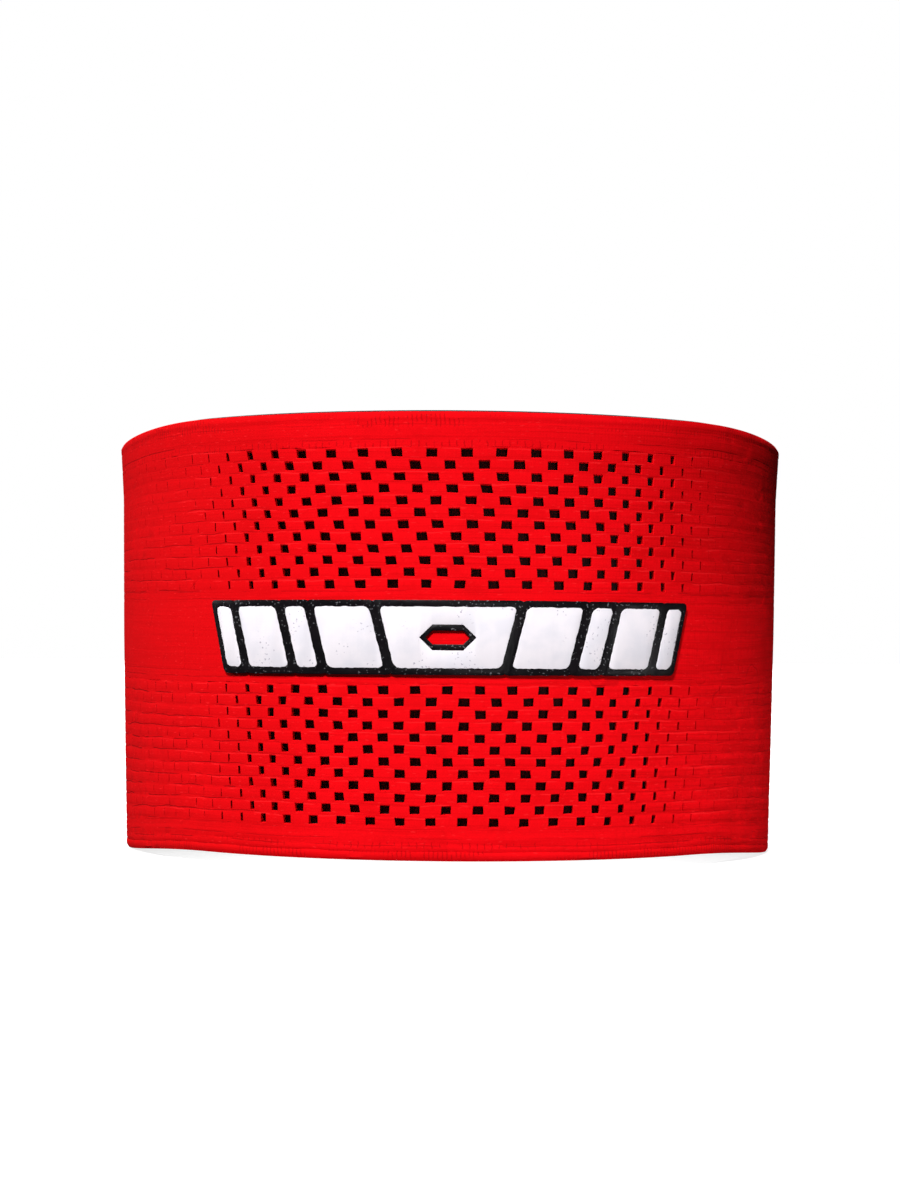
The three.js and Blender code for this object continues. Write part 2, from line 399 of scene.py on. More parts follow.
def plainBand(name, columns, bottom, top, ribs, rim=None):
    # a part of the web with no holes, on the same lines as the rows beside it
    shares = (holeShare, 0.5 - holeShare, 0.5 + holeShare, 1 - holeShare)
    xLines = [flatPitch * (column + share - columns / 2) for column in range(columns) for share in shares]
    xLines.append(flatPitch * (columns / 2 + holeShare))
    zLines = [bottom + (top - bottom) * share for share, out in ribs]
    piece = uprightGrid(name, xLines, zLines)
    thicken(piece, webSizes["thickness"])

    def isCutEdge(middle, corners):
        sides = allAt(corners, 0, xLines[0]) or allAt(corners, 0, xLines[-1])
        ends = any(allAt(corners, 2, edge) for edge in (bottom, top) if edge != rim)
        return sides or ends

    deleteFaces(piece, isCutEdge, "ONLY_FACE")
    places = vertexArray(piece)
    outside = places[:, 1] < 1e-6
    outs = np.interp(places[:, 2], zLines, [out * mm for share, out in ribs])
    places[outside, 1] = -outs[outside]
    if rim is not None:
        atRim = np.abs(places[:, 2] - rim) < 1e-6
        places[atRim & outside, 1] += webSizes["rimOuter"]
        places[atRim & ~outside, 1] -= webSizes["rimInner"]
    setVertices(piece, places)
    return piece


def relaxedShare(column):
    # 0 across the front and the back, where the web is stretched, and 1 at the sides
    fromFront = np.abs(column)
    fromEither = np.minimum(fromFront, webSizes["holesAround"] / 2 - fromFront)
    open, closed = (np.where(column < 0, *webSizes[name]) for name in ("openColumns", "closedColumns"))
    return smoothStep(fromEither, open, closed)


def closeHoles(places):
    # at the sides the web isn't stretched, and its holes draw together into slits
    halves = places[:, 0] / flatPitch * 2
    middle = np.rint(halves)
    slit = np.where(middle < 0, *webSizes["slits"])
    inner = places[:, 1] > webSizes["thickness"] / 2
    openShare = np.where(inner, 1, 1 + (slit - 1) * relaxedShare(middle / 2))
    # between the rows the grooves are shallow where the web is stretched
    leftDepth, rightDepth = (np.interp(places[:, 2], (0, bandHeight), webSizes[name])
                             for name in ("grooveLeft", "grooveRight"))
    onRight = smoothStep(halves, *webSizes["rightFrom"]) * (1 - smoothStep(halves, *webSizes["rightTo"]))
    fullDepth = leftDepth + (rightDepth - leftDepth) * onRight
    depth = webSizes["grooveFront"] + (fullDepth - webSizes["grooveFront"]) * relaxedShare(halves / 2)
    inRows = False
    for start, end in ((lowerStart, lowerEnd), (upperStart, upperEnd)):
        inRows = inRows | ((places[:, 2] > start - 1e-6) & (places[:, 2] < end + 1e-6))
    grooved = inRows & (places[:, 1] > 1e-6) & ~inner
    places[grooved, 1] *= depth[grooved]
    places[:, 0] = (middle + (halves - middle) * openShare) / 2 * flatPitch
    return places


def scattered(places, salt):
    # a fixed number from -1 to 1 for each place on the web's lines, the same at both ends of the web
    across = np.mod(np.rint(places[:, 0] / flatPitch * 20), webSizes["holesAround"] * 20)
    upwards = np.rint(places[:, 2] / (0.05 * mm))
    return 2 * np.mod(np.sin(across * 12.9898 + upwards * 78.233 + salt) * 43758.5453, 1) - 1


def strayYarns(places, steady):
    # shifts the flat web's points a little
    turn = 2 * math.pi * places[:, 0] / flatPitch / webSizes["holesAround"]
    height = places[:, 2] / rowPitch
    sideways, upwards = (0.5 * sum(np.sin(turns * turn + growth * height + start)
                                   for turns, growth, start in yarnWaves[name])
                         for name in ("sideways", "upwards"))
    widen = flatPitch / webSizes["upperFrontPitch"]
    inner = (places[:, 2] > 1e-5) & (places[:, 2] < bandHeight - 1e-5)
    places[:, 0] += webSizes["wander"] * widen * (sideways + 0.9 * scattered(steady, 1.3))
    places[inner, 2] += 0.6 * webSizes["wander"] * (upwards + 0.8 * scattered(steady, 5.1))[inner]
    return places


def skewedColumns(places):
    # the upper block leans sideways from row to row, and the strip takes the lean up
    height = places[:, 2]
    rowsBelowTop = np.clip((upperEnd - rowPitch / 2 - height) / rowPitch, 0, holeRows - 1)
    lean = rowsBelowTop * smoothStep(height, lowerEnd, upperStart) * webSizes["upperSkew"]
    return places[:, 0] / flatPitch + lean / webSizes["upperFrontPitch"]


def risenRows(arcs, heights):
    # the rims stay where they are, and the rows between them climb towards the sides
    fromFront = degreesAside(*alongOval(arcs, "x", "y"))
    climb, descent = (smoothStep(fromFront, *wallShape[name]) for name in ("dropEnds", "riseEnds"))
    aside = climb * (1 - descent)
    share = np.clip(np.sin(math.pi * heights / bandHeight), 0, 1)
    return heights + wallShape["sideRise"] * aside * share ** wallShape["risePower"]


def wrapWeb(piece):
    # bends the flat web round the oval
    steady = vertexArray(piece)
    places = closeHoles(steady.copy())
    mapCloth(piece, columnArcs(skewedColumns(places), places[:, 2]), places[:, 2])
    places = strayYarns(places, steady)
    arcs = columnArcs(skewedColumns(places), places[:, 2])
    setVertices(piece, wallPoints(arcs, risenRows(arcs, places[:, 2]), -places[:, 1]))


def holeCorners(piece):
    # True at each corner of a hole, on the outer face of the flat web
    places = vertexArray(piece)
    column = places[:, 0] / flatPitch
    flags = np.zeros(len(places), dtype=bool)
    for start, shift in ((lowerStart, 0.5), (upperStart, 0)):
        rows = (places[:, 2] - start) / rowPitch
        row = np.floor(rows)
        inRow = (row >= 0) & (row < holeRows)
        edge = np.abs(np.abs(rows - row - 0.5) * rowPitch - webSizes["holeHeight"] / 2) < 1e-6
        fromHole = column - shift - 0.5 * (row % 2)
        fromHole = np.abs(fromHole - np.rint(fromHole))
        open = relaxedShare(column) < webSizes["bevelTo"]
        flags |= inRow & edge & open & (np.abs(fromHole - holeShare) < 1e-4) & (places[:, 1] < 1e-6)
    return flags


def softenHoles(piece):
    # a small bevel on the outer rim of every hole
    corner = np.empty(len(piece.data.vertices), dtype=np.int32)
    piece.data.attributes["holeCorner"].data.foreach_get("value", corner)
    pickEdges(piece, lambda first, second: corner[first] and corner[second])
    bpy.ops.mesh.bevel(offset=webSizes["holeBevel"], offset_type="OFFSET", segments=1, affect="EDGES",
                       clamp_overlap=True)
    objectMode()
    piece.data.attributes.remove(piece.data.attributes["holeCorner"])


def makeWeb():
    columns = webSizes["holesAround"]
    lower = webBlock("lowerBlock", columns, lowerStart, 0)
    upper = webBlock("upperBlock", columns, upperStart, 0.5)
    web = joined("bandWeb", [
        plainBand("bottomBorder", columns, 0, lowerStart, borderRibs["bottom"], rim=0),
        lower,
        plainBand("strip", columns, lowerEnd, upperStart, borderRibs["strip"]),
        upper,
        plainBand("topBorder", columns, upperEnd, bandHeight, borderRibs["top"], rim=bandHeight),
    ])
    corners = web.data.attributes.new("holeCorner", "INT", "POINT")
    corners.data.foreach_set("value", holeCorners(web).astype(np.int32))
    wrapWeb(web)
    mergeDoubles(web)
    softenHoles(web)
    return web


tile = webTile()
bandPiece = makeWeb()
bpy.data.objects.remove(tile)
print("band web:", len(bandPiece.data.polygons), "faces")


# Lining: a plain dark wall just inside the band

liningSizes = {
    "thickness": 1.0 * mm,
    "gap": 0.3 * mm,
    "rise": 0.3 * mm,      # above the upper rim
    "lift": 0.4 * mm,      # above the lower rim
    "steps": 240,
    "rows": 24,
    "rimRound": 0.3 * mm,
}


def makeLining():
    low, high = liningSizes["lift"], bandHeight + liningSizes["rise"]
    xLines = [girth * step / liningSizes["steps"] for step in range(liningSizes["steps"] + 1)]
    zLines = [low + (high - low) * step / liningSizes["rows"] for step in range(liningSizes["rows"] + 1)]
    piece = uprightGrid("liningCloth", xLines, zLines)
    places = vertexArray(piece)
    mapCloth(piece, places[:, 0], places[:, 2])
    out = np.full(len(places), -webSizes["thickness"] - liningSizes["gap"])
    setVertices(piece, wallPoints(places[:, 0], places[:, 2], out))
    mergeDoubles(piece)
    thicken(piece, liningSizes["thickness"])
    roundEdges(piece, liningSizes["rimRound"], 3)
    return piece


liningPiece = makeLining()
print("lining:", len(liningPiece.data.polygons), "faces")


# Lap at the back: the web's outer end laid over the band, held by two rows of zigzag stitches

lapSizes = {
    "width": 12 * mm,
    "lines": (0, 0.2, 0.4, 0.55, 0.63, 0.7, 0.77, 0.85, 0.96, 1),  # of half the width
    "rows": 36,
    "clear": 0.04 * mm,        # above the band
    "edgeRound": 0.35 * mm,
    "stitchRise": 1.7 * mm,    # up the lap with each stitch
    "stitchAcross": 1.7 * mm,
    "stitchInset": 1.8 * mm,   # middle of each row of stitches, from the lap's edge
    "stitchPull": 0.22 * mm,   # how far the rows of stitches pull the lap in
    "pullWidth": 1.1 * mm,
    "thread": 0.24 * mm,
    "threadBends": (-0.44, -0.36, -0.2, 0, 0.2, 0.36, 0.44),  # of one stitch's length
    "threadDip": 0.36 * mm,    # how far its ends go in
    "threadSunk": 0.02 * mm,   # into the lap
}


def wrapLap(piece):
    # lays a flat piece on the back, with its map
    places = vertexArray(piece)
    arcs = girth / 2 + places[:, 0]
    mapCloth(piece, arcs, places[:, 2])
    setVertices(piece, wallPoints(arcs, places[:, 2], wallShape["lapRise"] - places[:, 1]))


def makeLap():
    half = lapSizes["width"] / 2
    xLines = sorted({sign * half * share for share in lapSizes["lines"] for sign in (-1, 1)})
    zLines = [bandHeight * step / lapSizes["rows"] for step in range(lapSizes["rows"] + 1)]
    piece = uprightGrid("bandLap", xLines, zLines)
    thicken(piece, wallShape["lapRise"] - lapSizes["clear"])
    roundEdges(piece, lapSizes["edgeRound"], 3)
    places = vertexArray(piece)
    fromRow = np.abs(np.abs(places[:, 0]) - (half - lapSizes["stitchInset"]))
    pull = lapSizes["stitchPull"] * np.exp(-(fromRow / lapSizes["pullWidth"]) ** 2)
    places[:, 1] += np.where(places[:, 1] < wallShape["lapRise"] / 2, pull, 0)
    setVertices(piece, places)
    wrapLap(piece)
    return piece


def mirroredCopy(piece, name, rise=0.0):
    twin = copyOf(piece, name)
    setVertices(twin, vertexArray(piece) * (-1, 1, 1) + (0, 0, rise))
    faceOutwards(twin)
    return twin


def makeStitches():
    # one thread, bent down at both its ends, then mirrored and repeated up the lap
    rise, across = lapSizes["stitchRise"], lapSizes["stitchAcross"]
    length = math.hypot(rise, across)
    selectOnly()
    bpy.ops.mesh.primitive_cylinder_add(vertices=6, radius=lapSizes["thread"], depth=length,
                                        end_fill_type="NGON", rotation=(0, math.atan2(across, rise), 0))
    thread = newPiece("lapStitches")
    editMode(thread, "EDGE")
    for share in lapSizes["threadBends"]:
        bpy.ops.mesh.select_all(action="SELECT")
        bpy.ops.mesh.bisect(plane_co=(across * share, 0, rise * share), plane_no=(across, 0, rise))
    objectMode()
    places = vertexArray(thread)
    along = (places[:, 0] * across + places[:, 2] * rise) / length / (length / 2)
    places[:, 1] += lapSizes["threadDip"] * along ** 8 + lapSizes["threadSunk"]
    setVertices(thread, places)
    faceOutwards(thread)
    thread = joined("lapStitches", [thread, mirroredCopy(thread, "otherThread", rise)])
    count = int((bandHeight - 2 * rise) / (2 * rise))
    repeated(thread, count, (0, 0, 2 * rise))
    toRow = (lapSizes["width"] / 2 - lapSizes["stitchInset"], 0, (bandHeight - (2 * count - 1) * rise) / 2)
    setVertices(thread, vertexArray(thread) + toRow)
    thread = joined("lapStitches", [thread, mirroredCopy(thread, "leftStitches")])
    wrapLap(thread)
    return thread


lapPiece = makeLap()
stitchPiece = makeStitches()
print("lap:", len(lapPiece.data.polygons), "faces, stitches:", len(stitchPiece.data.polygons))


# Emblem: a dark plate with windows, light shapes in the windows, and a ringed slot

emblemSizes = {
    "width": 70 * mm,
    "margin": 1.5 * mm,
    "outline": 1 * mm,
    "spacing": 1.6 * mm,
    "lean": 2 * mm,
    "cornerCut": 0.7 * mm,
    "slotWidth": 7.4 * mm,
    "slotHeight": 3.4 * mm,
    "slotRing": 0.8 * mm,
    "base": 0.03 * mm,          # clear of the web
    "darkTop": 0.55 * mm,
    "lightTop": 0.65 * mm,
    "printSpread": 0.1 * mm,    # how far the light print runs onto the dark plate
    "ragged": 0.05 * mm,        # how uneven its edge is
    "raggedEvery": 0.4 * mm,
    "fit": 0.02 * mm,           # between a light shape and the dark plate
    "cutPast": 1 * mm,          # how far a cutter goes past both faces
    "edgeRound": 0.1 * mm,
    "bendEvery": 1.4 * mm,
    "blocks": (("first", 0.107), ("second", 0.04), ("third", 0.086), ("fourth", 0.034)),
}

emblemHeight = webSizes["stripHeight"] - 2 * emblemSizes["margin"]
fillHeight = emblemHeight - 2 * emblemSizes["outline"]
stripMiddle = webSizes["bottomBorder"] + blockHeight + webSizes["stripHeight"] / 2
base, darkTop, lightTop = (emblemSizes[name] for name in ("base", "darkTop", "lightTop"))


def roughenEdge(piece, every):
    # adds points along the flat plate's edge, and moves each of them a little in or out
    def isLong(first, second):
        return np.linalg.norm(places[first] - places[second]) > 1.5 * every

    places = vertexArray(piece)
    while pickEdges(piece, isLong):
        bpy.ops.mesh.subdivide(number_cuts=1)
        objectMode()
        places = vertexArray(piece)
    objectMode()
    strays = np.random.default_rng(int(abs(places[0, 0]) * 1e6)).uniform(-1, 1, (len(places), 2))
    places[:, (0, 2)] += emblemSizes["ragged"] * strays
    setVertices(piece, places)


def slantedPlate(name, row, grow, low, high, raggedEvery=None):
    # a four-sided plate between two places at mid height, grown outwards all round
    half = fillHeight / 2 + grow
    side = grow * math.hypot(1, emblemSizes["lean"] / fillHeight)
    reach = half / fillHeight
    selectOnly()
    bpy.ops.mesh.primitive_plane_add(size=1, rotation=(math.pi / 2, 0, 0))
    piece = newPiece(name)
    for vertex in piece.data.vertices:
        upper = 1 if vertex.co.z > 0 else -1
        if vertex.co.x > 0:
            x = row["right"] + side + upper * row["rightLean"] * reach
        else:
            x = row["left"] - side + upper * row["leftLean"] * reach
        vertex.co = (x, -low, upper * half)
    editMode(piece, "VERT", "SELECT")
    bpy.ops.mesh.bevel(offset=emblemSizes["cornerCut"], segments=3, affect="VERTICES")
    objectMode()
    if raggedEvery:
        roughenEdge(piece, raggedEvery)
    thicken(piece, high - low, offset=1)
    return piece


def slotPlate(name, grow, low, high):
    # a plate with pointed ends, for the slot and its ring
    width, height = emblemSizes["slotWidth"] + 2 * grow, emblemSizes["slotHeight"] + 2 * grow
    selectOnly()
    bpy.ops.mesh.primitive_circle_add(vertices=6, radius=1, fill_type="NGON",
                                      rotation=(math.pi / 2, math.pi / 6, 0))
    piece = newPiece(name)
    for vertex in piece.data.vertices:
        atPoint = abs(vertex.co.z) < 0.1
        x = math.copysign(width / 2 if atPoint else width / 2 - height / 2, vertex.co.x)
        vertex.co = (x, -low, 0 if atPoint else math.copysign(height / 2, vertex.co.z))
    thicken(piece, high - low, offset=1)
    return piece


def combine(piece, other, how):
    faceOutwards(piece)
    faceOutwards(other)
    addModifier(piece, "BOOLEAN", object=other, operation=how, solver="EXACT")
    bpy.data.objects.remove(other)


def lightPlate(row):
    # a body in the window, and a thin uneven cap of print over its edge
    name = row["node"] + "_film"
    fill = slantedPlate(name, row, 0, base, darkTop)
    cap = slantedPlate("printCap", row, emblemSizes["printSpread"], darkTop, lightTop,
                       emblemSizes["raggedEvery"])
    if row["node"] == "emblem_middle":
        for part in (fill, cap):
            room = slotPlate("slotRoom", emblemSizes["fit"], base - emblemSizes["cutPast"],
                             lightTop + emblemSizes["cutPast"])
            combine(part, room, "DIFFERENCE")
    return joined(name, [fill, cap])


def emblemRows():
    # the light shapes' names, ends at mid height, and leans
    lean, spacing, blocks = (emblemSizes[name] for name in ("lean", "spacing", "blocks"))
    taken = sum(width * emblemSizes["width"] + spacing for name, width in blocks)
    half = emblemSizes["width"] / 2 - emblemSizes["outline"] - lean / 2 - taken
    rows = [{"node": "emblem_middle", "left": -half, "right": half, "leftLean": -lean, "rightLean": lean}]
    start = half
    for name, width in blocks:
        close = start + spacing
        far = close + width * emblemSizes["width"]
        rows.append({"node": "emblem_right_" + name, "left": close, "right": far,
                     "leftLean": lean, "rightLean": lean})
        rows.append({"node": "emblem_left_" + name, "left": -far, "right": -close,
                     "leftLean": -lean, "rightLean": -lean})
        start = far
    return rows


def wrapEmblem(piece):
    # cuts the flat plate across often enough to bend, rounds its edges and lays it on the strip
    places = vertexArray(piece)
    first, last = places[:, 0].min(), places[:, 0].max()
    count = int((last - first) / emblemSizes["bendEvery"])
    editMode(piece, "EDGE")
    for step in range(1, count + 1):
        bpy.ops.mesh.select_all(action="SELECT")
        bpy.ops.mesh.bisect(plane_co=(first + (last - first) * step / (count + 1), 0, 0), plane_no=(1, 0, 0))
    objectMode()
    mergeDoubles(piece, 1e-6)
    faceOutwards(piece)
    roundEdges(piece, emblemSizes["edgeRound"], 2)
    places = vertexArray(piece)
    mapCloth(piece, places[:, 0], stripMiddle + places[:, 2])
    setVertices(piece, wallPoints(places[:, 0], stripMiddle + places[:, 2], -places[:, 1]))


def makeEmblem():
    cutLow, cutHigh = base - emblemSizes["cutPast"], darkTop + emblemSizes["cutPast"]
    rows = emblemRows()
    plates = [slantedPlate("emblemOutline", row, emblemSizes["outline"], base, darkTop) for row in rows]
    plate = plates[0]
    for other in plates[1:]:
        combine(plate, other, "UNION")
    for row in rows:
        combine(plate, slantedPlate("window", row, emblemSizes["fit"], cutLow, cutHigh), "DIFFERENCE")
    fills = [lightPlate(row) for row in rows]
    ring = slotPlate("emblemSlotRing", 0, base, darkTop)
    combine(ring, slotPlate("slotInner", -emblemSizes["slotRing"], cutLow, cutHigh), "DIFFERENCE")
    for piece in [plate, ring] + fills:
        wrapEmblem(piece)
    return plate, ring, fills


outlinePiece, ringPiece, fillPieces = makeEmblem()
print("emblem:", 2 + len(fillPieces), "pieces")


# Finishes. All lengths on the cloth are in centimetres

def feed(node, sources):
    # links sockets and sets fixed values, by the name or number of the input
    for key, source in sources.items():
        socket = node.inputs[key]
        if isinstance(source, bpy.types.NodeSocket):
            node.id_data.links.new(source, socket)
        else:
            socket.default_value = (*source, 1) if socket.type == "RGBA" else source
    return node.outputs


def addNode(tree, kind, sources, **settings):
    node = tree.nodes.new("ShaderNode" + kind)
    for name, value in settings.items():
        setattr(node, name, value)
    return feed(node, sources)


def calc(operation, *sources):
    # a sum in the tree that its sockets come from
    tree = next(source.id_data for source in sources if isinstance(source, bpy.types.NodeSocket))
    return addNode(tree, "Math", dict(enumerate(sources)), operation=operation)[0]


def times(first, *others):
    for other in others:
        first = calc("MULTIPLY", first, other)
    return first


def sloped(value, slope, start):
    return calc("MULTIPLY_ADD", value, slope, start)


def opposite(share):
    return calc("SUBTRACT", 1.0, share)


def ramp(value, low, high):
    # 0 below low, 1 above high
    sources = {"Value": value, "From Min": low, "From Max": high}
    return addNode(value.id_data, "MapRange", sources, interpolation_type="SMOOTHSTEP")["Result"]


def mixColour(share, first, second):
    # a mix of colours has its factor at input 0, and its colours at 6 and 7
    return addNode(share.id_data, "Mix", {0: share, 6: first, 7: second}, data_type="RGBA")[2]


def clothPlace(tree):
    return addNode(tree, "UVMap", {}, uv_map="clothMap")["UV"]


def parted(place):
    return addNode(place.id_data, "SeparateXYZ", {0: place})


def stretched(place, x, y):
    # the place on the cloth, scaled unevenly
    return addNode(place.id_data, "VectorMath", {0: place, 1: (x, y, 1)}, operation="MULTIPLY")[0]


def noise(place, scale, detail=2.0, roughness=0.5):
    sources = {"Vector": place, "Scale": scale, "Detail": detail, "Roughness": roughness}
    return addNode(place.id_data, "TexNoise", sources, noise_dimensions="2D")[0]


def newGroup(name, inputs, outputs):
    # reads a place and some numbers, and puts out numbers
    tree = bpy.data.node_groups.new(name, "ShaderNodeTree")
    tree.interface.new_socket("Place", in_out="INPUT", socket_type="NodeSocketVector")
    for label, value in inputs.items():
        socket = tree.interface.new_socket(label, in_out="INPUT", socket_type="NodeSocketFloat")
        socket.default_value = value
    for label in outputs:
        tree.interface.new_socket(label, in_out="OUTPUT", socket_type="NodeSocketFloat")
    return tree, tree.nodes.new("NodeGroupInput").outputs, tree.nodes.new("NodeGroupOutput")


def makeKnitGroup():
    # small V-shaped stitches in columns, with some fuzz; Shade is low in their hollows and high on their
    # raised places, for painting shade
    inputs = {"Column Width": 0.05, "Stitch Height": 0.04, "Fuzz": 0.3}
    tree, given, wanted = newGroup("knitStitches", inputs, ["Height", "Shade"])
    parts = parted(given["Place"])
    fold = calc("PINGPONG", calc("DIVIDE", parts["X"], given["Column Width"]), 0.5)
    stitch = calc("ADD", calc("DIVIDE", parts["Y"], given["Stitch Height"]), fold)
    rounded = calc("SINE", times(fold, math.pi))
    crossed = calc("SINE", times(stitch, 2 * math.pi))
    yarn = calc("ADD", times(rounded, 0.6), times(crossed, 0.2))
    height = calc("ADD", yarn, times(noise(given["Place"], 60.0, 3.0), given["Fuzz"]))
    feed(wanted, {"Height": height, "Shade": ramp(height, 0.0, 0.5)})
    return tree


def makePatchGroup():
    # soft-edged patches scattered over the cloth
    tree, given, wanted = newGroup("scatteredPatches", {"Scale": 1.0, "Share": 0.5}, ["Mask"])
    low = sloped(opposite(given["Share"]), 0.5, 0.22)
    feed(wanted, {"Mask": ramp(noise(given["Place"], given["Scale"]), low, calc("ADD", low, 0.1))})
    return tree


knitGroup = makeKnitGroup()
patchGroup = makePatchGroup()


def useGroup(group, place, **values):
    node = place.id_data.nodes.new("ShaderNodeGroup")
    node.node_tree = group
    return feed(node, {"Place": place} | {name.replace("_", " "): value for name, value in values.items()})


def patches(place, scale, share):
    return useGroup(patchGroup, place, Scale=scale, Share=share)["Mask"]


def newMaterial(name, **values):
    material = bpy.data.materials.new(name)
    material.use_nodes = True
    shader = material.node_tree.nodes["Principled BSDF"]
    feed(shader, {label.replace("_", " "): value for label, value in values.items()})
    return material, shader


def addBump(shader, height, strength, distance):
    bump = addNode(shader.id_data, "Bump", {"Strength": strength, "Distance": distance, "Height": height})
    feed(shader, {"Normal": bump["Normal"]})


knitLook = {
    "red": (0.85, 0.0014, 0.005),
    "deepRed": (0.67, 0.0008, 0.0028),
    "paleRed": (0.95, 0.016, 0.02),
    "lineRed": (0.30, 0.0008, 0.002),
    "columnWidth": 0.052,
    "stitchHeight": 0.04,
    "stretchedTo": (1.5, 3.5),  # from the front, where the stretched web ends
    "rowLine": 0.011,          # width of the dark lines of painted shade in the grooves between the rows
    "rowDrift": 0.06,
    "rowLeast": 0.24,          # strength of these lines at the front
    "highUp": (3.9, 4.7),      # where the rows fade out on both sides
    "farAside": (3.6, 5.2),
    "paleLine": 0.01,          # width of the painted highlights on the rows' top edges, and how far they are below the dark lines
    "paleBelow": 0.02,
    "borderLine": 0.014,
    # height and strength of the painted shade lines in the grooves of the borders and along the strip
    "borderLines": ((0.115, 0.5), (0.2, 0.9), (0.29, 0.7), (0.42, 0.4), (5.63, 0.8), (5.82, 0.4),
                    (2.43, 0.6), (2.52, 0.4), (3.5, 0.4), (3.6, 0.6)),
    # low and high edge, and spacing, of the upright ribs in the borders
    "ribRows": ((0.02, 0.13, 0.06), (0.16, 0.24, 0.1), (5.52, 5.61, 0.1), (5.79, 5.97, 0.06)),
    "darkLowEdge": (-0.1, 0.11),
    "creased": (2.1, 3.8),
    "behind": (6.5, 8.5),      # no creases past here
}


def bandAt(height, low, high, soft=0.02):
    # 1 between two heights
    return times(ramp(height, low - soft, low + soft), opposite(ramp(height, high - soft, high + soft)))


def lineAt(value, middle, width):
    # a thin line where a value has one size
    return opposite(ramp(calc("ABSOLUTE", calc("SUBTRACT", value, middle)), 0.0, width))


def rowLinesAt(height, drifted, width):
    # thin lines between the rows of both blocks, where shade and highlights are painted
    lines = 0.0
    for start, end in ((lowerStart * 100, lowerEnd * 100), (upperStart * 100, upperEnd * 100)):
        away = calc("PINGPONG", calc("SUBTRACT", drifted, start), rowPitch * 50)
        lines = calc("MULTIPLY_ADD", opposite(ramp(away, 0.0, width)), bandAt(height, start, end), lines)
    return lines


